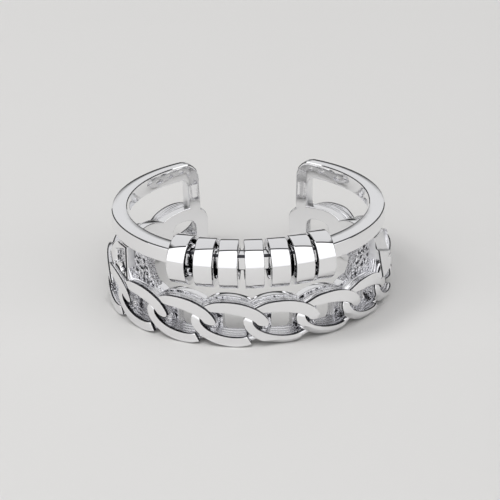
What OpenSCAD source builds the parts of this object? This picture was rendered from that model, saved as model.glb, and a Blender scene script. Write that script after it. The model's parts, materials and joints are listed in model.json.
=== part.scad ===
// Spinner ring: an open double ring with seven loose sleeves on its upper rail.
// The finger axis is Z. The chain band stands on Z = 0, the sleeves face -Y, the opening is at +Y.
// Angles go round the finger axis from the front, and grow to the right (+X).

/* [Finger and opening] */
// Inside diameter of the chain band, a US size 7
finger_d = 17.3; // [17:0.1:17.6]
// Overall height, to the top of the rail
ring_h = 7; // [6.9:0.05:7.2]
// Angle from the middle of the back to the rail's end
rail_end = 24.3; // [22:0.1:26]
// Angle from the middle of the back to the chain's end
chain_end = 20.7; // [19:0.1:22]

/* [Upper rail] */
// Height of the rail
rail_h = 1.25; // [1.2:0.05:1.3]
// Outer radius of the rail
rail_r = 10; // [9.9:0.05:10.1]
// How far the rail's outer circle lies in front of the finger axis, which thins the rail towards its ends
rail_shift = 0.36; // [0.3:0.02:0.4]
// How far the rail's inner wall stands back from the chain's
rail_relief = 0.18; // [0.17:0.01:0.2]
// Angle that an end plate takes up
plate_span = 6.5; // [6:0.1:7]
// Radius of the rail's upper corner at its ends
end_corner_r = 1; // [0.8:0.1:1.1]

/* [Core and sleeves] */
// Depth of the core bar that the sleeves turn on
core_t = 1.14; // [1.1:0.02:1.16]
// Radius of the core's middle line
core_r = 9.5; // [9.48:0.01:9.52]
// Radius of the core's rounded edges
core_edge = 0.2; // [0.2:0.01:0.25]
// Outside diameter of a sleeve
sleeve_d = 3.53; // [3.45:0.01:3.55]
// Length of a sleeve
sleeve_l = 1.36; // [1.3:0.01:1.36]
// Bore of a sleeve
sleeve_bore = 2.24; // [2.24:0.01:2.3]
// How far the sleeves hang below the core's middle
sleeve_drop = 0.295; // [0.28:0.005:0.3]
// Gap between the rail's shoulders and the outermost sleeves
shoulder_gap = 0.06; // [0.05:0.01:0.1]

/* [Chain band] */
// Height of the chain band
chain_h = 3.5; // [3.4:0.05:3.6]
// Outer radius of the links' sunken arms
link_low_r = 9.95; // [9.9:0.01:10]
// Outer radius of the links' raised arms
link_high_r = 10.45; // [10.4:0.01:10.5]
// Length of a link
link_l = 5.7; // [5.6:0.05:5.8]
// Width of a link's upper arm
upper_wire = 0.86; // [0.8:0.02:0.9]
// Width of a link's lower arm
lower_wire = 0.66; // [0.6:0.02:0.7]
// Tilt of a link, its right end down
link_tilt = 7; // [6:0.5:8]
// Angle from one link to the next
link_pitch = 21.2; // [21.1:0.05:21.3]
// Angle of the link that lies left of the front
link_start = -8.3; // [-8.5:0.1:-8.1]
// Angle of the last link at the left, which stands a little apart
last_left = -147; // [-148:0.5:-145]
// Angle of the last link at the right
last_right = 141; // [140:0.5:143]
// Width of the pierced holes
hole_w = 1.55; // [1.4:0.05:1.6]
// How far a hole stands right of its link's middle, as an angle
hole_shift = 0.9; // [0.8:0.05:1]
// Width of the holes in the two last links
end_hole_w = 2.3; // [2.2:0.05:2.4]
// Angle of the hole in the last link at the left
left_hole = -146; // [-147:0.5:-145]
// Angle of the hole in the last link at the right
right_hole = 143; // [142:0.5:144]
// Height of the pierced holes
hole_h = 1.92; // [1.8:0.02:2]
// Height of the holes' lower edges
hole_low = 0.6; // [0.55:0.01:0.65]

/* [Side webs] */
// Where the left web starts, as an angle from the front
web_left = 50.5; // [49:0.5:52]
// Where the right web starts
web_right = 54; // [52:0.5:55]
// Outer radius of the webs' sunken fields
web_r = 9.6; // [9.5:0.05:9.65]
// Outer radius of the tabs beside them
tab_r = 10.15; // [10:0.05:10.2]

/* [Hidden] */
$fn = 96;

// Each sleeve's place round the finger, and the angle that it has turned to on its loose bore
PLACE = 0;
TURN = 1;
SLEEVES = [
    [-28.8, -24.5],
    [-18.2, -13],
    [-8.4, -6],
    [1.8, 2.5],
    [11.9, 10],
    [21.6, 16.8],
    [31, 22],
];

bore_r = finger_d / 2;
rail_bore_r = bore_r + rail_relief;
rail_z = ring_h - rail_h;
core_z = rail_z + rail_h / 2;
sleeve_z = core_z - sleeve_drop;

link_a = link_l / 2;
// The tilted oval is as high as the chain
link_b = sqrt(pow(chain_h / 2, 2) - pow(link_a * sin(link_tilt), 2)) / cos(link_tilt);
links_left = floor((link_start - last_left) / link_pitch - 0.5);
links_right = floor((last_right - link_start) / link_pitch - 0.5);
link_row = [for (k = [-links_left : links_right]) link_start + k * link_pitch];
link_angles = concat([last_left], link_row, [last_right]);
// Half the step from link to link, seen straight on
half_step = link_low_r * sin(link_pitch / 2);
// A raised arm stands in from the oval's own outline, so that no two walls coincide
arm_inset = 0.04;
arm_steps = 7;
tip_steps = 4;
notch_steps = 8;
hole_steps = 20;

// Raised arms, as stretches of the oval: the upper one starts at the link's round tip
UPPER_ARM = [20, 130];
LOWER_ARM = [180, 303];

far = 40;
overlap = 0.3;

// The tabs' outlines, as angles from the front and heights
tab_foot = chain_h - 2 * overlap;
LEFT_TAB = [[59.5, tab_foot], [87, tab_foot], [87, 3.4], [80, 4.4], [68, 5.95], [59.5, 5.95]];
RIGHT_TAB = [[65, tab_foot], [92, tab_foot], [92, 3.4], [91, 4.6], [76, 5.95], [65, 5.95]];

function polar(r, angle) = [r * sin(angle), -r * cos(angle)];
function turned(p, angle) = [p[0] * cos(angle) - p[1] * sin(angle), p[0] * sin(angle) + p[1] * cos(angle)];
// A point of a link's oval, in from its outline by inset
function oval(t, inset = 0) = turned([(link_a - inset) * cos(t), (link_b - inset) * sin(t)], -link_tilt);

// How high the tilted oval reaches at u from its middle
function oval_top(u) =
    let (w2 = pow(link_a * cos(link_tilt), 2) + pow(link_b * sin(link_tilt), 2))
    let (lean = (pow(link_b, 2) - pow(link_a, 2)) * sin(link_tilt) * cos(link_tilt))
    (lean * u + link_a * link_b * sqrt(max(w2 - u * u, 0))) / w2;

// A pie slice of the plan between two angles from the front, for stretches under 90 degrees
module slice(from, to, z0, z1) {
    translate([0, 0, z0])
        linear_extrude(z1 - z0)
            polygon([[0, 0], polar(far, from), polar(far, (from + to) / 2), polar(far, to)]);
}

module tube(r_in, r_out, z0, z1) {
    translate([0, 0, z0])
        difference() {
            cylinder(r = r_out, h = z1 - z0);
            translate([0, 0, -1])
                cylinder(r = r_in, h = z1 - z0 + 2);
        }
}

// Pushes a flat outline, drawn as seen from outside, out through the wall at an angle.
// Its origin is on the plane z.
module through_wall(angle, z = 0) {
    rotate([0, 0, angle])
        translate([0, 1 - bore_r, z])
            rotate([90, 0, 0])
                linear_extrude(4)
                    children();
}

// How far the end plates reach over the ends of the rail's arms, as an angle
plate_lap = 0.7;

// The wedge behind the ring that the opening leaves free
module opening(half_angle, z0, z1) {
    translate([0, 0, z0])
        linear_extrude(z1 - z0)
            polygon([[0, 0], polar(far, 180 - half_angle), polar(far, 180 + half_angle)]);
}

// The rail's plan: round inside, and a shifted circle outside
module rail_ring(z0, z1) {
    difference() {
        translate([0, -rail_shift, z0])
            cylinder(r = rail_r, h = z1 - z0);
        translate([0, 0, z0 - 1])
            cylinder(r = rail_bore_r, h = z1 - z0 + 2);
    }
}

// The four corners of the room in front that the rail leaves to the sleeves
function shoulder(i, side, reach) =
    let (c = polar(core_r, SLEEVES[i][PLACE]), t = SLEEVES[i][TURN])
    c + turned([side * (sleeve_l / 2 + shoulder_gap), reach], t);

module sleeve_room() {
    last = len(SLEEVES) - 1;
    translate([0, 0, rail_z - 1])
        linear_extrude(rail_h + 2)
            polygon([
                shoulder(0, -1, 3),
                shoulder(0, -1, -3),
                shoulder(last, 1, -3),
                shoulder(last, 1, 3),
            ]);
}

module rail() {
    difference() {
        rail_ring(rail_z, ring_h);
        sleeve_room();
        opening(rail_end + plate_lap, rail_z - 1, ring_h + 1);
    }
}

// A rectangle with its corners rounded
function soft_box(w, h, r, steps = 3) = [
    for (c = [[1, 1, 0], [-1, 1, 90], [-1, -1, 180], [1, -1, 270]], i = [0 : steps])
        let (t = c[2] + 90 * i / steps)
        [c[0] * (w / 2 - r) + r * cos(t), c[1] * (h / 2 - r) + r * sin(t)]
];

// The bar runs a little way into the rail's arms, just under their surface
module core() {
    span = SLEEVES[len(SLEEVES) - 1][PLACE] + 10;
    rotate([0, 0, -90 - span])
        rotate_extrude(angle = 2 * span)
            translate([core_r, core_z])
                polygon(soft_box(core_t, rail_h - 0.02, core_edge));
}

// One raised arm: a stretch of the oval's rim, from a round or a square start to a square end
module arm(stretch, wire, round_start) {
    function t(i) = stretch[0] + (stretch[1] - stretch[0]) * i / arm_steps;
    tip_in = oval(t(0), wire);
    tip_out = oval(t(0), arm_inset);
    tip_middle = (tip_in + tip_out) / 2;
    tip = [for (i = [1 : tip_steps - 1]) tip_middle + turned(tip_in - tip_middle, 180 * i / tip_steps)];
    polygon(concat(
        round_start ? tip : [],
        [for (i = [0 : arm_steps]) oval(t(i), arm_inset)],
        [for (i = [arm_steps : -1 : 0]) oval(t(i), wire)]
    ));
}

// The valley between the tops of two ovals, drawn midway between their middles.
// Its ends stop just short of the ovals' highest points. Links that stand apart stretch it.
module valley(stretch) {
    peak = (pow(link_b, 2) - pow(link_a, 2)) * sin(link_tilt) * cos(link_tilt) / (chain_h / 2);
    from = peak - half_step + 0.2;
    to = peak + half_step - 0.2;
    function u(i) = from + (to - from) * i / notch_steps;
    outline = concat(
        [[to, chain_h], [from, chain_h], [from, chain_h / 2 + 0.01]],
        [for (i = [1 : notch_steps - 1]) [u(i), max(oval_top(u(i) + half_step), oval_top(u(i) - half_step))]],
        [[to, chain_h / 2 + 0.01]]
    );
    polygon([for (p = outline) [p[0] * stretch, p[1]]]);
}

// Pierces the wall at an angle with an oval that has full corners
module link_hole(angle, width) {
    function full(x) = sign(x) * pow(abs(x), 2 / 3);
    through_wall(angle)
        polygon([for (i = [0 : hole_steps - 1])
            let (t = 360 * (i + 0.5) / hole_steps)
            [width / 2 * full(cos(t)), hole_low + hole_h / 2 * (1 + full(sin(t)))]
        ]);
}

// The band that the arms lie on: scalloped at its top and bottom, and pierced in each link
module chain_base() {
    difference() {
        tube(bore_r, link_low_r, 0, chain_h);
        for (a = link_row)
            link_hole(a + hole_shift, hole_w);
        for (a = [left_hole, right_hole])
            link_hole(a, end_hole_w);
        for (i = [1 : len(link_angles) - 1]) {
            middle = (link_angles[i - 1] + link_angles[i]) / 2;
            stretch = (link_angles[i] - link_angles[i - 1]) / link_pitch;
            through_wall(middle, chain_h / 2) valley(stretch);
            through_wall(middle, chain_h / 2) rotate(180) valley(stretch);
        }
        opening(chain_end, -1, chain_h + 1);
    }
}

// Pushes an arm's outline out from inside the band's wall, and rounds it to the outer radius
module raised(angle) {
    difference() {
        intersection() {
            rotate([0, 0, angle])
                translate([0, 1 - link_low_r, chain_h / 2])
                    rotate([90, 0, 0])
                        linear_extrude(2)
                            children();
            cylinder(r = link_high_r, h = chain_h);
        }
        opening(chain_end, -1, chain_h + 1);
    }
}

module chain() {
    chain_base();
    for (a = link_angles) {
        raised(a) arm(UPPER_ARM, upper_wire, true);
        raised(a) arm(LOWER_ARM, lower_wire, false);
    }
}

// A web that joins the rail to the chain at one side (side = -1 left, 1 right), with the tab beside it
module web(side, from, outline) {
    tab_from = outline[0][0];
    middle = (tab_from + outline[1][0]) / 2;
    intersection() {
        tube(rail_bore_r, web_r, tab_foot, rail_z + overlap);
        slice(side * from, side * (tab_from + 5), tab_foot - 1, ring_h);
    }
    intersection() {
        tube(rail_bore_r, tab_r, tab_foot, rail_z + overlap);
        through_wall(side * middle)
            polygon([for (p = outline) [side * tab_r * sin(p[0] - middle), p[1]]]);
    }
}

// The plate that closes a window at the back, with a round upper corner
module end_plate(side) {
    edge = 180 - rail_end;
    middle = edge - plate_span / 2;
    // Half the plate's width, seen along its own middle, and how far its outline runs on into the rail
    half = rail_r * sin(plate_span / 2);
    run_on = 0.5;
    corner = [for (i = [0 : 6]) [
        half - end_corner_r * (1 - cos(15 * i)),
        ring_h - end_corner_r * (1 - sin(15 * i))
    ]];
    intersection() {
        rail_ring(chain_h / 2, ring_h);
        through_wall(side * middle)
            polygon([for (p = concat(
                [[-half, 0], [half, 0]],
                corner,
                [[-half - run_on, ring_h + 1], [-half - run_on, rail_z + overlap], [-half, rail_z + overlap]]
            )) [side * p[0], p[1]]]);
    }
}

module band() {
    color("silver") {
        rail();
        core();
        chain();
        web(-1, web_left, LEFT_TAB);
        web(1, web_right, RIGHT_TAB);
        for (side = [-1, 1])
            end_plate(side);
    }
}

module spinner(i) {
    color("gainsboro")
        translate(concat(polar(core_r, SLEEVES[i][PLACE]), sleeve_z))
            rotate([0, 0, SLEEVES[i][TURN]])
                rotate([0, 90, 0])
                    difference() {
                        cylinder(d = sleeve_d, h = sleeve_l, center = true);
                        cylinder(d = sleeve_bore, h = sleeve_l + 1, center = true);
                    }
}

band();
spinner(0);  // spinner_1
spinner(1);  // spinner_2
spinner(2);  // spinner_3
spinner(3);  // spinner_4
spinner(4);  // spinner_5
spinner(5);  // spinner_6
spinner(6);  // spinner_7
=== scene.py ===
"""Spinner ring in polished silver: a cast chain band, a plain rail above it, and seven loose sleeves
that turn on the rail's front bar. Everything is drawn in millimetres and handed over in metres."""
import json
import math

import bmesh
import bpy
from mathutils import Matrix, Vector, noise


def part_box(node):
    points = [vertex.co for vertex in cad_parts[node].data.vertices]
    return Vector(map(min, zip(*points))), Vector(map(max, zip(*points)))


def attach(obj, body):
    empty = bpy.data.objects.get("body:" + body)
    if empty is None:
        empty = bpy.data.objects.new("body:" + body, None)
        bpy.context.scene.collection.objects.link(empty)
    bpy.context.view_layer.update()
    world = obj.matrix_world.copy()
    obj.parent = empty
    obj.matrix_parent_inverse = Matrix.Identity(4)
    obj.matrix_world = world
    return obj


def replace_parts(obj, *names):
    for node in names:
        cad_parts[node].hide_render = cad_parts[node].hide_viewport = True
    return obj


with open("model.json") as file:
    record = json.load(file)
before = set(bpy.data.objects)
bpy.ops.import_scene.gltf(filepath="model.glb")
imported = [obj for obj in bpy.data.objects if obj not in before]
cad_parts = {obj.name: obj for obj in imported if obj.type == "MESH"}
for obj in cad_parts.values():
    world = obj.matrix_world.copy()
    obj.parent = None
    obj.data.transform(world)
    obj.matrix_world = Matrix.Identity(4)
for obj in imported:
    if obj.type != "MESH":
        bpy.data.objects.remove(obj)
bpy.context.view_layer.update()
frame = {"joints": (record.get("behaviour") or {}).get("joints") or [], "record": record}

MM = 0.001
RING_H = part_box("band")[1].z / MM
BORE_R = frame["record"]["mounts"][0]["dims"]["r_mm"]

# Sizes below are in millimetres, and places round the ring are angles from the front, in degrees.
# Arc lengths of everything drawn flat are measured at this radius, then rolled round the finger axis
ROLL_R = 10.0
# The widest step round the finger that still looks round
SLICE_DEG = 1.5
# Two points that are closer than this are one, and a cut goes through a point that is this close
TINY = 1e-4
CUT_SNAP = 1e-5
# Where two surfaces would coincide, one of them is set back by this
SET_BACK = 0.01
# A fold of more than this is an edge that gets rounded, and a slab's corner is rounded in so many steps
EDGE_DEG = 60
CORNER_STEPS = 7
# How far a flat piece's face has to look one way, as a part of its normal
STRAIGHT_OUT = 0.9
MOSTLY_OUT = 0.8
SIDEWAYS = 0.7
INWARDS = 0.5

# Rail
RAIL_H = 1.25
RAIL_Z = RING_H - RAIL_H
RAIL_IN_R = BORE_R + 0.18
RAIL_R = 10.0
RAIL_SHIFT = 0.36
RAIL_START = 26
PLATE_FROM = 149.2
RAIL_END = 155.7
PLATE_FOOT_Z = 2.7
PLATE_SINK = 0.03
PLATE_STEPS = 8
WINDOW_CORNER_R = 0.5
END_CORNER_R = 1.3
RAIL_EDGE = 0.17

# Core bar and sleeves
CORE_R = 9.5
CORE_T = 1.14
CORE_EDGE = 0.3
# A face of the bar is lit where its outward share is between these: on top and in front. Below, behind
# and on the edge between top and front the bar is painted dark, as shade
CORE_LIT_FACING = (0.5, 0.9)
CORE_SPAN = 41
CORE_STEPS = 56
SLEEVE_R = 1.765
SLEEVE_BORE_R = 1.12
SLEEVE_L = 1.36
SLEEVE_EDGE = 0.07
SLEEVE_STEPS = 128
SHOULDER_GAP = 0.06

# Chain
CHAIN_H = 3.5
CHAIN_Z = CHAIN_H / 2
# A link's outline is a tilted oval, twice this long and high
LINK_A = 2.85
LINK_B = 1.73
LINK_TILT = math.radians(7)
LINK_PITCH = 21.2
LINK_START = -8.3
CHAIN_END = 159.3
# The end lobes are fuller than ovals, and blunt: this share of a lobe's half length is left
LOBE_POWER = 3
LOBE_SHARE = 0.97
# The last link at each end stands further off, where the pattern runs out
END_LINKS = (-147, 141)
LINK_ANGLES = [END_LINKS[0]] + [LINK_START + k * LINK_PITCH for k in range(-5, 7)] + [END_LINKS[1]]
BASE_R = 9.4
# The plates' inner wall covers the band's upper edge where the two are one surface
BASE_IN_R = BORE_R + SET_BACK
BASE_EDGE = 0.1
# How finely the band's outline and its face are divided
SIDE_STEPS = 12
ARCH_STEPS = 40
SPOKE_CUTS = 7
SPOKE_MIN = 0.35
# Keeps a corner that lies at the start of a turn from being sorted to its end
ANGLE_SLACK = 0.01
# Neighbouring links' shares of the band meet to within this
SIDES_MEET = 1e-3
RIM_DEPTH = 0.2
# A face that looks up or down by more than this belongs to an arch
ARCH_SLOPE = 0.4
# A hole's place in its link, as an angle, and its width: in the row, and in the two end links
HOLE_SHIFT = 0.8
HOLE_W = 1.65
END_HOLES = {0: (1.0, 2.4), 13: (2.0, 2.4)}
# A hole's height, and where its lower edge lies
HOLE_H = 1.92
HOLE_LOW = 0.6
# At 1 a hole is an oval, and below that its corners are fuller
HOLE_CORNERS = 2 / 3
# The arms stand out to this radius, and their walls end just inside the band
ARM_R = 10.45
ARM_FOOT_R = BASE_R - 0.05
ARM_WALL_RISE = 0.5
ARM_INSET = 0.06
ARM_EDGE = 0.06
ARM_EDGE_DEG = 55
ARM_ROWS = 48
ARM_COLUMNS = 6
TIP_ROWS = 6
# Each arm in rows round its link's oval: the angle and half the arm's width
UPPER_ARM = [(19, 0.41), (75, 0.43), (112, 0.38), (141, 0.25)]
LOWER_ARM = [(169, 0.24), (187, 0.32), (199, 0.33), (306, 0.33)]
# How far each arm dips at its start and its end, and over how many degrees
UPPER_DIPS = ((0.02, 15), (0.12, 35))
LOWER_DIPS = ((0.14, 30), (0.1, 14))
# By the link's angle: how far down its arms' walls a dark line is painted as shade, which share of its lower
# arm is ground to a facet, and where on the arm that starts
FINISHING = [(-180, 0.1, 0.0, 235), (-60, 0.25, 0.0, 235), (5, 0.25, 0.55, 235), (25, 0.25, 0.62, 195),
             (50, 0.14, 0.62, 195), (70, 0.1, 0.62, 195)]
FACET_SLOPE = 1.0
# The least share of an arm that a facet takes, and the angle over which it grows to its full share
FACET_MIN = 0.05
FACET_GROWS = 30
# Under the hole the arm's inner wall is filed, this far to each side of the link's middle
FILED_HALF = HOLE_W * 0.6
# The sunken wire: where its middle lies, and how far in from the link's outline
WIRE_R = 9.75
WIRE_HALF = 0.3
WIRE_INSET = 0.35
WIRE_SIDES = 12
WIRE_STEPS = 72
# A link's wire has been filed where it lies further than this above or below its middle
WIRE_FILED_Z = 0.9
# The mould's grain, in width and depth
GRAIN = 0.22
GRAIN_DEPTH = 0.09
# Grains that lie deeper than this share are painted dark, as shade in the pits
PIT_LEVEL = 0.2

# Webs at the sides, left (-1) and right (1), which start inside the chain band and end inside the rail
WEB_FROM = {-1: 50.5, 1: 54}
WEB_FOOT_Z = CHAIN_H - 0.9
WEB_TOP_Z = RAIL_Z + 0.3
WEB_IN_R = RAIL_IN_R + 0.02
WEB_R = 9.6
WEB_EDGE = 0.1
# Each web's front edge runs out over the chain by this angle, from a rounded bend at this height
WEB_FLARE = 9
WEB_BEND_Z = CHAIN_H + 0.9
WEB_BEND_R = 0.8
# A web is as cast on each face that looks to the front by more than this. The cast skin runs on over the
# chain's upper edge between these angles
WEB_FRONT = 0.3
WEB_SKIN = (46, 75)
# A web and a tab are cut across from this height up. Their cuts are given as a step and a count
CUTS_FROM_Z = CHAIN_H - 0.8
WEB_CUTS = (0.08, 40)
TAB_CUTS = (0.07, 45)
# The dark line of painted shade under the rail, on a web and on a tab
WEB_SHADE = 0.34
TAB_SHADE = 0.12
# The tabs beside them: where they start, and the angles, heights and radii of the corners down their sides
TAB_FROM = {-1: 59.5, 1: 63.5}
TAB_SHOULDER = {-1: (69, 80, 87), 1: (76, 89, 92)}
TAB_SHOULDER_Z = {-1: (RAIL_Z - 0.04, 4.4, 3.3), 1: (RAIL_Z - 0.04, 4.35, 3.2)}
TAB_CORNERS = (0.6, 1.2, 0.4)
TAB_IN_R = RAIL_IN_R + 0.1
TAB_R = 10.2
TAB_EDGE = 0.06
# The seam beside a tab's front edge, sunk a little and painted dark as shade
SEAM_FROM = 0.3
SEAM_DEG = 1.3
SEAM_SINK = 0.08
SEAM_EDGE = 0.1
# Webs and tabs are cut into strips this wide, so that they can carry the grain
TAB_DEG = 0.45
# Above this height the tab's front side is rubbed smooth
TAB_SATIN_Z = 4.1
# The left tab's rough hollow, which slopes down towards the back, the pit below it and a slot,
# each with the width of its soft edge
HOLLOW = (61.6, 73.2)
HOLLOW_ENDS = (0.8, 1.2)
HOLLOW_SOFT = 0.12
HOLLOW_Z = 5.02
HOLLOW_FALL = 0.066
HOLLOW_HALF = 0.5
HOLLOW_SINK = 0.22
PIT = (64.2, 3.9)
PIT_R = 0.5
PIT_STEEP = 3
PIT_SINK = 0.4
SLOT = (74.0, 3.7)
SLOT_HALF = 0.14
SLOT_SOFT = 0.08
SLOT_TOP_SOFT = 0.2
# The right tab's crease falls from this height at this angle, and its lower part stands out
CREASE = (66, 4.68)
CREASE_FALL = 0.072
CREASE_STEP = 0.16
CREASE_SOFT = 0.06
CREASE_LEAN = (0.28, 0.15)

# At a scale of 1 the wave texture's rings are this far apart
WAVE_SPACING = 0.314

# The finishes, as their numbers in the list at the end. The fourth is dark silver painted into grooves, pits
# and undersides as shade
POLISHED, AS_CAST, FILED, PAINTED_SHADE, SATIN = range(5)


def hex_colour(text):
    """An sRGB hex colour as linear light."""
    parts = [int(text[i:i + 2], 16) / 255 for i in (1, 3, 5)]
    return [c / 12.92 if c <= 0.04045 else ((c + 0.055) / 1.055) ** 2.4 for c in parts] + [1.0]


def add_node(tree, kind, settings=(), inputs=()):
    """Adds one node. An input is a value, or another node's output to link."""
    node = tree.nodes.new(kind)
    for name, value in dict(settings).items():
        setattr(node, name, value)
    for name, value in dict(inputs).items():
        if isinstance(value, bpy.types.NodeSocket):
            tree.links.new(value, node.inputs[name])
        else:
            node.inputs[name].default_value = value
    return node


def silver(name, colour, roughness, roughness_swing, grit_mm, grit_depth_mm, file_mm=0.0, file_depth_mm=0.0):
    """Silver with grains grit_mm wide that stand grit_depth_mm out, and file marks round the finger axis."""
    material = bpy.data.materials.new(name)
    material.use_nodes = True
    tree = material.node_tree
    shader = tree.nodes["Principled BSDF"]
    shader.inputs["Base Color"].default_value = hex_colour(colour)
    shader.inputs["Metallic"].default_value = 1.0
    place = add_node(tree, "ShaderNodeTexCoord")
    grain = add_node(tree, "ShaderNodeTexNoise", {}, {
        "Vector": place.outputs["Object"], "Scale": 1 / (grit_mm * MM), "Detail": 1.0, "Roughness": 0.6})
    gloss = add_node(tree, "ShaderNodeMapRange", {}, {
        "Value": grain.outputs["Fac"], "From Min": 0.3, "From Max": 0.7,
        "To Min": max(0.02, roughness - roughness_swing), "To Max": roughness + roughness_swing})
    bump = add_node(tree, "ShaderNodeBump", {}, {
        "Height": grain.outputs["Fac"], "Strength": 1.0, "Distance": grit_depth_mm * MM})
    if file_mm:
        marks = add_node(tree, "ShaderNodeTexWave", {"wave_type": "RINGS", "rings_direction": "Z"}, {
            "Vector": place.outputs["Object"], "Scale": WAVE_SPACING / (file_mm * MM), "Distortion": 1.2,
            "Detail": 2.0, "Detail Scale": 0.3})
        bump = add_node(tree, "ShaderNodeBump", {}, {
            "Height": marks.outputs["Fac"], "Strength": 1.0, "Distance": file_depth_mm * MM,
            "Normal": bump.outputs["Normal"]})
    tree.links.new(gloss.outputs["Result"], shader.inputs["Roughness"])
    tree.links.new(bump.outputs["Normal"], shader.inputs["Normal"])
    return material


def polar(r, angle):
    """A point in plan, at an angle from the front that grows to the right."""
    return Vector((r * math.sin(math.radians(angle)), -r * math.cos(math.radians(angle)), 0))


def arc(angle):
    """Arc length from the front to an angle, at the rolling radius."""
    return math.radians(angle) * ROLL_R


def smooth_step(x):
    """Rises softly from 0 to 1 as x does."""
    x = min(1, max(0, x))
    return x * x * (3 - 2 * x)


def cut_at(bm, places, normal):
    """Cuts a piece across at each place along a normal."""
    for place in places:
        bmesh.ops.bisect_plane(bm, geom=bm.verts[:] + bm.edges[:] + bm.faces[:], dist=CUT_SNAP,
                               plane_co=Vector(normal) * place, plane_no=normal)


def slice_up(bm, step_deg=SLICE_DEG):
    """Cuts a flat piece into narrow upright strips, so that it can be rolled."""
    low = min(v.co.x for v in bm.verts)
    high = max(v.co.x for v in bm.verts)
    step = arc(step_deg)
    cut_at(bm, [i * step for i in range(math.floor(low / step) + 1, math.ceil(high / step))], (1, 0, 0))


def grain(place):
    """How deep the mould's grain lies at a place, from -1 to 1."""
    return noise.noise(place / GRAIN)


def roughen(faces):
    """Moves a flat piece's faces in and out a little, as the mould left them, and paints the pits dark, as
    shade.
    """
    # Faces that lie deep in the grain are painted dark as shade
    for f in faces:
        f.material_index = PAINTED_SHADE if grain(f.calc_center_median()) > PIT_LEVEL else AS_CAST
    for v in {v for f in faces for v in f.verts}:
        v.co.y += GRAIN_DEPTH * grain(v.co)


def between(rows, t):
    """Reads a table at t. A row is a place and its values, which change softly from row to row."""
    t = min(max(t, rows[0][0]), rows[-1][0])
    for low, high in zip(rows, rows[1:]):
        if t <= high[0]:
            share = smooth_step((t - low[0]) / (high[0] - low[0]))
            return [a + (b - a) * share for a, b in zip(low[1:], high[1:])]


def roll(bm):
    """Rolls a flat piece round the finger axis: X is the arc length, and -Y the radius."""
    for v in bm.verts:
        v.co = polar(-v.co.y, math.degrees(v.co.x / ROLL_R)) + Vector((0, 0, v.co.z))


def sharp_edges(bm, angle_deg=EDGE_DEG):
    """The edges where two faces meet at more than an angle."""
    return [e for e in bm.edges if len(e.link_faces) == 2 and e.calc_face_angle(0) > math.radians(angle_deg)]


def soften(bm, edges, width, segments=3):
    """Rounds edges off."""
    bmesh.ops.bevel(bm, geom=edges, offset=width, segments=segments, profile=0.5, affect="EDGES",
                    material=-1, clamp_overlap=True)


def thicken(bm, faces, depth):
    """Pushes faces back by depth, away from the outside at -Y."""
    edges = list({e for f in faces for e in f.edges})
    pushed = bmesh.ops.extrude_face_region(bm, geom=faces + edges)["geom"]
    bmesh.ops.translate(bm, vec=(0, depth, 0), verts=[g for g in pushed if isinstance(g, bmesh.types.BMVert)])
    return [g for g in pushed if isinstance(g, bmesh.types.BMFace)]


def slab(outline, r_in, r_out):
    """A flat slab from a few corners, each an angle, a height and the radius that rounds it."""
    bm = bmesh.new()
    corners = [bm.verts.new((arc(a), -r_out, z)) for a, z, _ in outline]
    face = bm.faces.new(corners)
    thicken(bm, [face], r_out - r_in)
    bmesh.ops.recalc_face_normals(bm, faces=bm.faces[:])
    for a, z, radius in outline:
        if radius:
            corner = {v for v in bm.verts if abs(v.co.x - arc(a)) + abs(v.co.z - z) < TINY}
            soften(bm, [e for e in bm.edges if corner.issuperset(e.verts)], radius, CORNER_STEPS)
    return bm


def finish(bm, name, body, materials, sharp_deg=40):
    """Makes the mesh an object in metres, rides it on its body and names its finish."""
    bmesh.ops.remove_doubles(bm, verts=bm.verts[:], dist=TINY)
    bmesh.ops.dissolve_degenerate(bm, edges=bm.edges[:], dist=TINY)
    bmesh.ops.recalc_face_normals(bm, faces=bm.faces[:])
    bmesh.ops.scale(bm, vec=(MM, MM, MM), verts=bm.verts[:])
    mesh = bpy.data.meshes.new(name)
    bm.to_mesh(mesh)
    bm.free()
    mesh.shade_smooth()
    mesh.set_sharp_from_angle(angle=math.radians(sharp_deg))
    piece = bpy.data.objects.new(name, mesh)
    bpy.context.scene.collection.objects.link(piece)
    used = sorted({face.material_index for face in mesh.polygons})
    for face in mesh.polygons:
        face.material_index = used.index(face.material_index)
    for number in used:
        mesh.materials.append(materials[number])
    even = piece.modifiers.new("Even shading", "WEIGHTED_NORMAL")
    even.keep_sharp = True
    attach(piece, body)
    return piece


def band_piece(bm, name, sharp_deg=40):
    """Finishes a mesh as a piece of the band."""
    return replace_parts(finish(bm, name, "band", FINISHES, sharp_deg), "band")


def rail_out_r(angle):
    """The rail's outer circle stands a little in front of the finger axis."""
    a = math.radians(angle)
    return RAIL_SHIFT * math.cos(a) + math.sqrt(RAIL_R ** 2 - (RAIL_SHIFT * math.sin(a)) ** 2)


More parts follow.
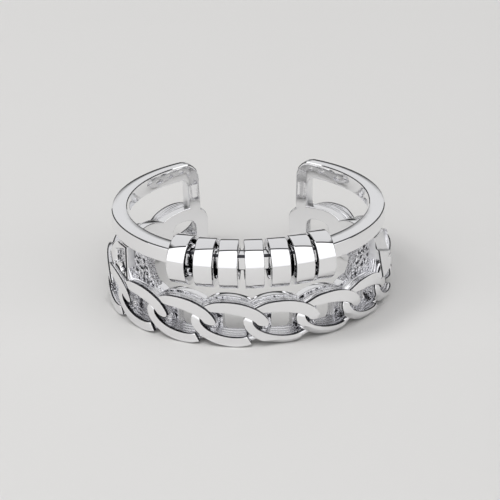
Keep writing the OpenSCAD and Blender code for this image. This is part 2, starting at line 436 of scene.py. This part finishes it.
def rail(side):
    """One arm of the rail with the plate that closes its window at the back."""
    bm = slab([
        (RAIL_START, RAIL_Z, 0),
        (PLATE_FROM, RAIL_Z, WINDOW_CORNER_R),
        (PLATE_FROM, PLATE_FOOT_Z, 0),
        (RAIL_END, PLATE_FOOT_Z, 0),
        (RAIL_END, RING_H, END_CORNER_R),
        (RAIL_START, RING_H, 0),
    ], RAIL_IN_R, RAIL_R)
    foot = {v for v in bm.verts if v.co.z < PLATE_FOOT_Z + SET_BACK}
    soften(bm, [e for e in sharp_edges(bm) if not foot.issuperset(e.verts)], RAIL_EDGE)
    for f in bm.faces:
        # The plate's two sides are only rubbed smooth
        f.material_index = SATIN if abs(f.normal.x) > SIDEWAYS else POLISHED
    cut_at(bm, [CHAIN_H + (RAIL_Z - CHAIN_H) * k / PLATE_STEPS for k in range(PLATE_STEPS)], (0, 0, 1))
    slice_up(bm)
    for v in bm.verts:
        # Down a plate the inner wall comes forward to the chain's, and slips behind it
        r_in = BORE_R + (RAIL_IN_R - BORE_R) * smooth_step((v.co.z - CHAIN_H) / (RAIL_Z - CHAIN_H))
        r_in += PLATE_SINK * smooth_step((CHAIN_H - v.co.z) / (CHAIN_H - PLATE_FOOT_Z))
        t = (-v.co.y - RAIL_IN_R) / (RAIL_R - RAIL_IN_R)
        v.co.y = -(r_in + t * (rail_out_r(math.degrees(v.co.x / ROLL_R)) - r_in))
    roll(bm)
    bmesh.ops.scale(bm, vec=(side, 1, 1), verts=bm.verts[:])
    # The shoulder stands parallel to the end of the last sleeve
    joint = frame["joints"][-1 if side > 0 else 0]
    away = Vector(joint["axis"]) * side
    end_face = Vector(joint["pos_m"]) / MM + away * (SLEEVE_L / 2 + SHOULDER_GAP)
    cut = bmesh.ops.bisect_plane(bm, geom=bm.verts[:] + bm.edges[:] + bm.faces[:], plane_co=end_face,
                                 plane_no=-away, clear_outer=True)
    rim = [g for g in cut["geom_cut"] if isinstance(g, bmesh.types.BMEdge)]
    bmesh.ops.edgeloop_fill(bm, edges=rim)
    return bm


def core():
    """The square bar inside the sleeves."""
    bm = bmesh.new()
    low, high = RAIL_Z + SET_BACK, RING_H - SET_BACK
    near, far = CORE_R - CORE_T / 2, CORE_R + CORE_T / 2
    corners = [(near, low), (far, low), (far, high), (near, high)]
    face = bm.faces.new([bm.verts.new(polar(r, -CORE_SPAN) + Vector((0, 0, h))) for r, h in corners])
    bmesh.ops.spin(bm, geom=[face], cent=(0, 0, 0), axis=(0, 0, 1), angle=math.radians(2 * CORE_SPAN),
                   steps=CORE_STEPS, use_merge=False)
    bmesh.ops.recalc_face_normals(bm, faces=bm.faces[:])
    soften(bm, sharp_edges(bm), CORE_EDGE)
    # Only the top and front faces keep the polish, and the rest is painted dark as shade
    for f in bm.faces:
        facing = f.normal.dot(f.calc_center_median().normalized())
        f.material_index = POLISHED if CORE_LIT_FACING[0] < facing < CORE_LIT_FACING[1] else PAINTED_SHADE
    return bm


def sleeve(joint):
    """A turned sleeve with lightly broken rims, at its joint's place."""
    bm = bmesh.new()
    ring = [bm.verts.new((x, 0, r)) for x, r in (
        (-SLEEVE_L / 2, SLEEVE_BORE_R), (SLEEVE_L / 2, SLEEVE_BORE_R),
        (SLEEVE_L / 2, SLEEVE_R), (-SLEEVE_L / 2, SLEEVE_R))]
    section = [bm.edges.new(pair) for pair in zip(ring, ring[1:] + ring[:1])]
    bmesh.ops.spin(bm, geom=ring + section, cent=(0, 0, 0), axis=(1, 0, 0), angle=math.tau,
                   steps=SLEEVE_STEPS, use_merge=True)
    bmesh.ops.recalc_face_normals(bm, faces=bm.faces[:])
    soften(bm, sharp_edges(bm), SLEEVE_EDGE)
    axis = Vector(joint["axis"]).normalized()
    turn = Matrix((axis, Vector((0, 0, 1)).cross(axis), (0, 0, 1))).transposed().to_4x4()
    bmesh.ops.transform(bm, matrix=Matrix.Translation(Vector(joint["pos_m"]) / MM) @ turn, verts=bm.verts[:])
    return bm


def oval(t, inset=0.0):
    """A point of a link's tilted oval, in from its outline."""
    x = (LINK_A - inset) * math.cos(t)
    z = (LINK_B - inset) * math.sin(t)
    return Vector((x * math.cos(LINK_TILT) + z * math.sin(LINK_TILT), 0,
                   -x * math.sin(LINK_TILT) + z * math.cos(LINK_TILT)))


# The tilted oval: half its width, squared, and how far its top leans to one side
HALF_SQUARED = (LINK_A * math.cos(LINK_TILT)) ** 2 + (LINK_B * math.sin(LINK_TILT)) ** 2
OVAL_LEAN = (LINK_B ** 2 - LINK_A ** 2) * math.sin(LINK_TILT) * math.cos(LINK_TILT)


def oval_top(u):
    """How high the tilted oval reaches at u from its middle."""
    return (OVAL_LEAN * u + LINK_A * LINK_B * math.sqrt(max(HALF_SQUARED - u * u, 0))) / HALF_SQUARED


def valley(half):
    """Where two neighbours' outlines cross, right of the point midway between them, and how high."""
    shift = OVAL_LEAN * math.sqrt(HALF_SQUARED - half * half) / (LINK_A * LINK_B)
    return shift, (oval_top(half + shift) + oval_top(shift - half)) / 2


def lobe(x):
    """The outline of an end lobe, from its highest point to its blunt end."""
    return (1 - abs(x) ** LOBE_POWER) ** (1 / LOBE_POWER)


def cell_outline(i, middles):
    """The outline of one link's share of the band, as four sides that meet at its corners."""
    u0 = middles[i]
    half_pitch = arc(LINK_PITCH) / 2
    shift, valley_top = valley(half_pitch)
    corners = {}
    stretch = {}
    for side, j in ((-1, i - 1), (1, i + 1)):
        if 0 <= j < len(middles):
            middle = (middles[j] + u0) / 2
            stretch[side] = half_pitch / abs(middle - u0)
            corners[side] = (middle + shift, valley_top, middle - shift, -valley_top)
        else:
            end = side * arc(CHAIN_END)
            top = lobe(LOBE_SHARE) * CHAIN_Z
            corners[side] = (end, top, end, -top)

    def height(u, upper):
        side = 1 if u > u0 else -1
        if side not in stretch:
            reach = abs(corners[side][0] - u0) / LOBE_SHARE
            return upper * CHAIN_Z * lobe((u - u0) / reach)
        return upper * oval_top((u - u0) * upper * stretch[side])

    left, right = corners[-1], corners[1]
    points = []
    for k in range(SIDE_STEPS):
        s = k / SIDE_STEPS
        points.append((right[2] + s * (right[0] - right[2]), right[3] + s * (right[1] - right[3])))
    for k in range(ARCH_STEPS):
        u = right[0] + k / ARCH_STEPS * (left[0] - right[0])
        points.append((u, right[1] if k == 0 else height(u, 1)))
    for k in range(SIDE_STEPS):
        s = k / SIDE_STEPS
        points.append((left[0] + s * (left[2] - left[0]), left[1] + s * (left[3] - left[1])))
    for k in range(ARCH_STEPS):
        u = left[2] + k / ARCH_STEPS * (right[2] - left[2])
        points.append((u, left[3] if k == 0 else height(u, -1)))
    return points


def hole_point(i, t):
    """A point of a link's hole, an oval with full corners, from the middle of the link."""
    shift, width = END_HOLES.get(i, (HOLE_SHIFT, HOLE_W))
    full_x, full_z = (math.copysign(abs(f) ** HOLE_CORNERS, f) for f in (math.cos(t), math.sin(t)))
    return arc(shift) + width / 2 * full_x, HOLE_LOW - CHAIN_Z + HOLE_H / 2 * (1 + full_z)


def chain_base():
    """The band behind the links: scalloped above and below, and pierced in each link."""
    bm = bmesh.new()
    middles = [arc(a) for a in LINK_ANGLES]
    upright = Matrix.Rotation(math.radians(90), 4, "X")
    for i, u0 in enumerate(middles):
        outline = cell_outline(i, middles)
        rings = []
        for radius in (1.0, 0.5):
            ring = bmesh.ops.create_circle(bm, segments=len(outline), radius=radius,
                                           matrix=Matrix.Translation((u0, 0, 0)) @ upright)["verts"]
            rings.append(ring)
        # Both circles start at the outline's lower right corner. The outer one takes the outline's form, and
        # the inner one the hole's
        start = math.atan2(outline[0][1], outline[0][0] - u0)
        for ring in rings:
            ring.sort(key=lambda v: (math.atan2(v.co.z, v.co.x - u0) - start + ANGLE_SLACK) % math.tau)
        for outer, inner, (u, z) in zip(*rings, outline):
            outer.co = (u, 0, z)
            hole_u, hole_z = hole_point(i, math.atan2(z / HOLE_H, (u - u0) / HOLE_W))
            inner.co = (u0 + hole_u, 0, hole_z)
        loops = [e for ring in rings for v in ring for e in v.link_edges]
        bmesh.ops.bridge_loops(bm, edges=list(dict.fromkeys(loops)))
    bmesh.ops.remove_doubles(bm, verts=bm.verts[:], dist=SIDES_MEET)
    spokes = [e for e in bm.edges if not e.is_boundary and e.calc_length() > SPOKE_MIN]
    bmesh.ops.subdivide_edges(bm, edges=spokes, cuts=SPOKE_CUTS, use_grid_fill=True)
    bmesh.ops.translate(bm, vec=(0, -BASE_R, CHAIN_Z), verts=bm.verts[:])
    back = thicken(bm, bm.faces[:], RIM_DEPTH)
    thicken(bm, back, BASE_R - BASE_IN_R - RIM_DEPTH)
    bmesh.ops.recalc_face_normals(bm, faces=bm.faces[:])
    soften(bm, sharp_edges(bm), BASE_EDGE)
    for f in bm.faces:
        # As cast outside and on top by the webs, smooth inside and at the arches' back edge, else filed
        middle = f.calc_center_median()
        by_web = WEB_SKIN[0] < abs(math.degrees(middle.x / ROLL_R)) < WEB_SKIN[1]
        on_top = f.normal.z > ARCH_SLOPE and middle.z > CHAIN_Z
        back_edge = f.normal.z * (middle.z - CHAIN_Z) > ARCH_SLOPE and -middle.y < BASE_R - RIM_DEPTH
        if f.normal.y < -MOSTLY_OUT or by_web and on_top:
            f.material_index = AS_CAST
        elif f.normal.y > INWARDS or back_edge:
            f.material_index = POLISHED
        else:
            f.material_index = FILED
    roughen([f for f in bm.faces if f.normal.y < -STRAIGHT_OUT])
    roll(bm)
    return bm


def link_wire(bm, u0):
    """The sunken wire of one link: a round section swept round the oval."""
    ring = bmesh.ops.create_circle(bm, segments=WIRE_SIDES, radius=WIRE_HALF,
                                   matrix=Matrix.Translation((LINK_A, 0, 0)))["verts"]
    section = list({e for v in ring for e in v.link_edges})
    before = set(bm.verts) - set(ring)
    bmesh.ops.spin(bm, geom=ring + section, cent=(0, 0, 0), axis=(0, 1, 0), angle=math.tau,
                   steps=WIRE_STEPS, use_merge=True)
    for v in set(bm.verts) - before:
        t = math.atan2(v.co.z, v.co.x)
        across = math.hypot(v.co.x, v.co.z) - LINK_A
        depth = v.co.y
        v.co = oval(t, WIRE_INSET - across) + Vector((u0, -WIRE_R + depth, CHAIN_Z))


def arm(u0, rows, dips, tips, line, facet, facet_from):
    """A raised polished arm of a link, after its table. It has a round tip at its start, its end or both,
    and facet is the share of it that is ground off outside. The line down its walls is painted dark, as
    shade."""
    bm = bmesh.new()
    grid = bmesh.ops.create_grid(bm, x_segments=ARM_ROWS, y_segments=ARM_COLUMNS, size=1)["verts"]
    first, last = rows[0][0], rows[-1][0]
    middle_inset = ARM_INSET + max(half for _, half in rows)
    middle_column = ARM_COLUMNS // 2
    for v in grid:
        row = round((v.co.x + 1) / 2 * ARM_ROWS)
        column = round((v.co.y + 1) / 2 * ARM_COLUMNS)
        # The first or the last rows are bent round a tip
        start_rows, end_rows = (TIP_ROWS if tip else 0 for tip in tips)
        start_bend = max(0, start_rows - row) / TIP_ROWS
        end_bend = max(0, row - ARM_ROWS + end_rows) / TIP_ROWS
        along = (row - start_rows) / (ARM_ROWS - start_rows - end_rows)
        t = first + (last - first) * min(1, max(0, along))
        half, = between(rows, t)
        bend = math.radians(90) * (end_bend - start_bend)
        t += math.degrees(half / LINK_B) * math.sin(bend)
        drop = sum(depth * max(0, 1 - way / reach) ** 2
                   for (depth, reach), way in zip(dips, (t - first, last - t)))
        # The columns crowd to both sides of the facet's edge
        across = column / middle_column - 1
        if facet:
            crease = 1 - 2 * max(FACET_MIN, facet * smooth_step((t - facet_from) / FACET_GROWS))
            across = -1 + (across + 1) * (crease + 1) if across <= 0 else crease + across * (1 - crease)
            drop += max(0, across - crease) * half * FACET_SLOPE
        v.co = oval(math.radians(t), middle_inset - across * half * math.cos(bend))
        v.co += Vector((u0, drop - ARM_R, CHAIN_Z))
    bmesh.ops.remove_doubles(bm, verts=grid, dist=TINY)
    bmesh.ops.recalc_face_normals(bm, faces=bm.faces[:])
    lined = thicken(bm, bm.faces[:], line)
    shade = {v for f in lined for v in f.verts}
    foot = {v for f in thicken(bm, lined, line) for v in f.verts}
    for v in foot:
        # The lower arm's inner wall slopes down from the hole's edge
        v.co.z += ARM_WALL_RISE * smooth_step(1 - v.co.z / CHAIN_Z)
        v.co.y = -ARM_FOOT_R
    bmesh.ops.recalc_face_normals(bm, faces=bm.faces[:])
    soften(bm, [e for e in sharp_edges(bm, ARM_EDGE_DEG) if not (foot | shade) & set(e.verts)], ARM_EDGE, 2)
    for f in bm.faces:
        middle = f.calc_center_median()
        # The walls' upper band, down to the line, is painted dark as shade
        f.material_index = PAINTED_SHADE if shade & set(f.verts) else POLISHED
        if foot & set(f.verts):
            # The file has reached the upper walls, and the lower ones under the hole
            reached = middle.z > CHAIN_Z or abs(middle.x - u0) < FILED_HALF
            f.material_index = FILED if reached else AS_CAST
    return bm


def link(angle):
    """One link of the chain: a sunken wire all round, and two polished arms on it."""
    u0 = arc(angle)
    line, facet, facet_from = [row[1:] for row in FINISHING if angle > row[0]][-1]
    bm = bmesh.new()
    link_wire(bm, u0)
    for f in bm.faces:
        f.material_index = FILED if abs(f.calc_center_median().z - CHAIN_Z) > WIRE_FILED_Z else AS_CAST
    for rows, dips, tips, ground in ((UPPER_ARM, UPPER_DIPS, (True, True), 0),
                                     (LOWER_ARM, LOWER_DIPS, (True, False), facet)):
        part = arm(u0, rows, dips, tips, line, ground, facet_from)
        mesh = bpy.data.meshes.new("arm")
        part.to_mesh(mesh)
        part.free()
        bm.from_mesh(mesh)
        bpy.data.meshes.remove(mesh)
    for v in bm.verts:
        # The last links are squeezed into what room the band leaves them
        room = arc(CHAIN_END) + (u0 if v.co.x < u0 else -u0)
        v.co.x = u0 + (v.co.x - u0) * min(1, room / LINK_A)
    roll(bm)
    return bm


def cut_level(bm, step, count):
    """Cuts a web or a tab across at even heights."""
    cut_at(bm, [CUTS_FROM_Z + step * k for k in range(count)], (0, 0, 1))


def web(side):
    """The rough cast web that joins the rail to the chain."""
    shoulder = TAB_SHOULDER[side][0]
    bm = slab([
        (WEB_FROM[side] - WEB_FLARE, WEB_FOOT_Z, 0),
        (shoulder, WEB_FOOT_Z, 0),
        (shoulder, WEB_TOP_Z, 0),
        (WEB_FROM[side], WEB_TOP_Z, 0),
        (WEB_FROM[side], WEB_BEND_Z, WEB_BEND_R),
    ], WEB_IN_R, WEB_R)
    soften(bm, sharp_edges(bm), WEB_EDGE)
    slice_up(bm, TAB_DEG)
    cut_level(bm, *WEB_CUTS)
    for f in bm.faces:
        f.material_index = AS_CAST if f.normal.x < -WEB_FRONT else POLISHED
    front = [f for f in bm.faces if f.normal.y < -STRAIGHT_OUT]
    roughen(front)
    for f in front:
        # The web's top, under the rail's overhang, is painted dark as shade
        if f.calc_center_median().z > RAIL_Z - WEB_SHADE:
            f.material_index = PAINTED_SHADE
    roll(bm)
    bmesh.ops.scale(bm, vec=(side, 1, 1), verts=bm.verts[:])
    return bm


def left_tab_sink(a, z):
    """How far the left tab's hollow, pit and slot lie below its face."""
    middle = HOLLOW_Z - HOLLOW_FALL * (a - HOLLOW[0])
    hollow = smooth_step((a - HOLLOW[0]) / HOLLOW_ENDS[0]) * smooth_step((HOLLOW[1] - a) / HOLLOW_ENDS[1])
    hollow *= smooth_step((HOLLOW_HALF - abs(z - middle)) / HOLLOW_SOFT + 0.5)
    pit = smooth_step((1 - math.hypot(arc(a - PIT[0]), z - PIT[1]) / PIT_R) * PIT_STEEP)
    slot = smooth_step((SLOT_HALF - abs(arc(a - SLOT[0]))) / SLOT_SOFT + 0.5)
    slot *= smooth_step((SLOT[1] - z) / SLOT_TOP_SOFT)
    return HOLLOW_SINK * hollow, PIT_SINK * max(pit, slot)


def right_tab_sink(a, z):
    """How far the right tab's face leans back above its crease, and stands out below it."""
    below = CREASE[1] - CREASE_FALL * (a - CREASE[0]) - z
    return -CREASE_STEP * smooth_step(below / CREASE_SOFT) - CREASE_LEAN[below > 0] * below


def tab(side):
    """The polished tab beside the web, with a seam at its front edge that is painted dark as shade."""
    shoulder = list(zip(TAB_SHOULDER[side], TAB_SHOULDER_Z[side], TAB_CORNERS))
    top_z = shoulder[0][1]
    bm = slab([
        (TAB_FROM[side], WEB_FOOT_Z, 0),
        (TAB_SHOULDER[side][-1], WEB_FOOT_Z, 0),
        *reversed(shoulder),
        (TAB_FROM[side], top_z, 0),
    ], TAB_IN_R, TAB_R)
    soften(bm, sharp_edges(bm), TAB_EDGE)
    slice_up(bm, TAB_DEG)
    cut_level(bm, *TAB_CUTS)
    for f in bm.faces:
        if f.normal.x < -SIDEWAYS and f.calc_center_median().z > TAB_SATIN_Z:
            f.material_index = SATIN
    front = [f for f in bm.faces if f.normal.y < -STRAIGHT_OUT]
    hollow = []
    for f in front:
        middle = f.calc_center_median()
        a = math.degrees(middle.x / ROLL_R)
        f.material_index = SATIN if side > 0 else POLISHED
        if side < 0:
            shallow, deep = left_tab_sink(a, middle.z)
            if shallow > HOLLOW_SINK / 2:
                hollow.append(f)
            # The deep pit and slot are painted dark, as shade
            elif deep > PIT_SINK / 3:
                f.material_index = PAINTED_SHADE
    roughen(hollow)
    for f in front:
        middle = f.calc_center_median()
        seam = math.degrees(middle.x / ROLL_R) - TAB_FROM[side] - SEAM_FROM
        # The seam and the tab's top under the rail are painted dark as shade
        if 0 < seam < SEAM_DEG or middle.z > top_z - TAB_SHADE:
            f.material_index = PAINTED_SHADE
    for v in {v for f in front for v in f.verts}:
        a = math.degrees(v.co.x / ROLL_R)
        v.co.y += sum(left_tab_sink(a, v.co.z)) if side < 0 else right_tab_sink(a, v.co.z)
        if SEAM_EDGE < a - TAB_FROM[side] - SEAM_FROM < SEAM_DEG - SEAM_EDGE:
            v.co.y += SEAM_SINK
    roll(bm)
    bmesh.ops.scale(bm, vec=(side, 1, 1), verts=bm.verts[:])
    return bm


# Rhodium-plated silver from the polishing wheel: a near mirror with faint hairlines
polished = silver("polished rhodium-plated silver", "#F4F4F5", roughness=0.05, roughness_swing=0.02,
                  grit_mm=0.6, grit_depth_mm=0.0015)
# The same silver as it left the mould: a pebbled skin that breaks reflections into sparkles
as_cast = silver("as-cast silver skin", "#DCDCDF", roughness=0.1, roughness_swing=0.04,
                 grit_mm=0.19, grit_depth_mm=0.2)
# The arches, the arms' walls and the holes still have the file's lines
filed_silver = silver("filed cast silver", "#F0F0F2", roughness=0.2, roughness_swing=0.05,
                      grit_mm=0.3, grit_depth_mm=0.006, file_mm=0.22, file_depth_mm=0.02)
# Painted shade: dark silver put in the grooves, pits, seams and undersides where shade falls
painted_shade_silver = silver("silver painted dark as groove shade", "#3C3C40", roughness=0.3, roughness_swing=0.1,
                   grit_mm=0.2, grit_depth_mm=0.05)
# Rubbed smooth, but not to a mirror
satin = silver("satin silver", "#F4F4F5", roughness=0.4, roughness_swing=0.04,
               grit_mm=0.4, grit_depth_mm=0.004)
# Turned on a lathe and buffed: the cleanest mirror on the ring
turned_silver = silver("turned and buffed silver", "#F4F4F5", roughness=0.035, roughness_swing=0.01,
                       grit_mm=0.8, grit_depth_mm=0.0008)
FINISHES = [polished, as_cast, filed_silver, painted_shade_silver, satin]

for side, word in ((-1, "left"), (1, "right")):
    band_piece(rail(side), "rail_" + word, sharp_deg=20)
    band_piece(web(side), "web_" + word)
    band_piece(tab(side), "tab_" + word, sharp_deg=30)
band_piece(core(), "core_bar")
band_piece(chain_base(), "chain_band")
for number, angle in enumerate(LINK_ANGLES, 1):
    band_piece(link(angle), f"link_{number}", sharp_deg=25)
for joint in frame["joints"]:
    name = joint["child"]
    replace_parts(finish(sleeve(joint), name + "_sleeve", name, [turned_silver]), name)


# The room's light, as a strength for each angle from the front horizon up and over to the back, in degrees
LIGHT_BANDS = [(-180, 0.3), (-20, 0.5), (0, 0.8), (7, 1.2), (83, 1.3), (84.5, 0.02), (89.5, 0.02),
               (91, 0.72), (160, 0.76), (166, 0.06), (178, 0.04)]
BRIGHTEST = max(light for _, light in LIGHT_BANDS)
# Behind, the room darkens between these shares of the way to the side, by this much
SIDE_FADE = (0.5, 0.6)
SIDE_DARK = 0.93
# One soft lamp, at the upper left, which the metal doesn't mirror. Metres and watts
WINDOW_AT = (-0.16, -0.06, 0.28)
WINDOW_SIZE = 0.12
WINDOW_POWER = 0.25
FLOOR_HALF = 2


def floor():
    """A plain pale floor."""
    bm = bmesh.new()
    bmesh.ops.create_grid(bm, x_segments=1, y_segments=1, size=FLOOR_HALF)
    mesh = bpy.data.meshes.new("floor")
    bm.to_mesh(mesh)
    bm.free()
    material = bpy.data.materials.new("matt white card")
    material.use_nodes = True
    shader = material.node_tree.nodes["Principled BSDF"]
    shader.inputs["Base Color"].default_value = hex_colour("#DCDBD9")
    shader.inputs["Roughness"].default_value = 0.8
    mesh.materials.append(material)
    piece = bpy.data.objects.new("floor", mesh)
    bpy.context.scene.collection.objects.link(piece)


def studio():
    """Two big softboxes overhead with a narrow dark gap between them, in a darker room."""
    world = bpy.data.worlds.new("soft studio")
    world.use_nodes = True
    bpy.context.scene.world = world
    tree = world.node_tree
    place = add_node(tree, "ShaderNodeTexCoord")
    split = add_node(tree, "ShaderNodeSeparateXYZ", {}, {"Vector": place.outputs["Generated"]})
    ahead = add_node(tree, "ShaderNodeMath", {"operation": "MULTIPLY"}, {0: split.outputs["Y"], 1: -1.0})
    turn = add_node(tree, "ShaderNodeMath", {"operation": "ARCTAN2"},
                    {0: split.outputs["Z"], 1: ahead.outputs[0]})
    share = add_node(tree, "ShaderNodeMapRange", {}, {
        "Value": turn.outputs[0], "From Min": -math.pi, "From Max": math.pi})
    ramp = add_node(tree, "ShaderNodeValToRGB", {}, {"Fac": share.outputs["Result"]})
    bands = ramp.color_ramp.elements
    while len(bands) < len(LIGHT_BANDS):
        bands.new(0.5)
    for band, (angle, light) in zip(bands, LIGHT_BANDS):
        grey = light / BRIGHTEST
        band.position = (angle + 180) / 360
        band.color = (grey, grey, grey * 1.01, 1)
    # The rear box is narrow, so the room to its sides stays dark
    aside = add_node(tree, "ShaderNodeMath", {"operation": "ABSOLUTE"}, {0: split.outputs["X"]})
    shade = add_node(tree, "ShaderNodeMapRange", {}, {
        "Value": aside.outputs[0], "From Min": SIDE_FADE[0], "From Max": SIDE_FADE[1],
        "To Min": 0.0, "To Max": SIDE_DARK})
    behind = add_node(tree, "ShaderNodeMath", {"operation": "GREATER_THAN"},
                      {0: turn.outputs[0], 1: math.radians(90)})
    dim = add_node(tree, "ShaderNodeMath", {"operation": "MULTIPLY"},
                   {0: shade.outputs["Result"], 1: behind.outputs[0]})
    keep = add_node(tree, "ShaderNodeMath", {"operation": "SUBTRACT"}, {0: 1.0, 1: dim.outputs[0]})
    lit = add_node(tree, "ShaderNodeMixRGB", {"blend_type": "MULTIPLY"}, {
        "Fac": 1.0, "Color1": ramp.outputs["Color"], "Color2": keep.outputs[0]})
    back = tree.nodes["Background"]
    tree.links.new(lit.outputs["Color"], back.inputs["Color"])
    back.inputs["Strength"].default_value = BRIGHTEST

    light = bpy.data.lights.new("window", "AREA")
    light.shape = "DISK"
    light.size = WINDOW_SIZE
    light.energy = WINDOW_POWER
    lamp = bpy.data.objects.new("window", light)
    lamp.location = WINDOW_AT
    lamp.rotation_euler = (Vector((0, 0, 0)) - lamp.location).to_track_quat("-Z", "Y").to_euler()
    lamp.visible_glossy = False
    bpy.context.scene.collection.objects.link(lamp)


# The camera looks down by this angle, from so many millimetres away, and leans a little
ELEVATION = math.radians(22.1)
DISTANCE = 250
ROLL = math.radians(1.34)
# This point of the ring is seen at this pixel of the 500 pixel frame
AIM = Vector((0, -0.36, 7.0))
AIM_PIXEL = (248.1, 203.0)
FRAME_PX = 500
FOCAL_PX = 3422
SENSOR = 36.0


def camera():
    """The photo's camera, fitted to the rail's round outline."""
    data = bpy.data.cameras.new("camera")
    data.sensor_width = SENSOR
    data.lens = FOCAL_PX / FRAME_PX * SENSOR
    data.clip_start = 0.01
    away = Vector((0, -math.cos(ELEVATION), math.sin(ELEVATION)))
    facing = (-away).to_track_quat("-Z", "Y")
    seen = Vector((AIM_PIXEL[0] - FRAME_PX / 2, FRAME_PX / 2 - AIM_PIXEL[1], -FOCAL_PX))
    swing = seen.rotation_difference(Vector((0, 0, -1)))
    turn = facing.to_matrix() @ Matrix.Rotation(-ROLL, 3, "Z") @ swing.to_matrix()
    eye = bpy.data.objects.new("camera", data)
    eye.matrix_world = Matrix.Translation((AIM + away * DISTANCE) * MM) @ turn.to_4x4()
    bpy.context.scene.collection.objects.link(eye)
    bpy.context.scene.camera = eye


floor()
studio()
camera()
bpy.context.scene.view_settings.view_transform = "Standard"
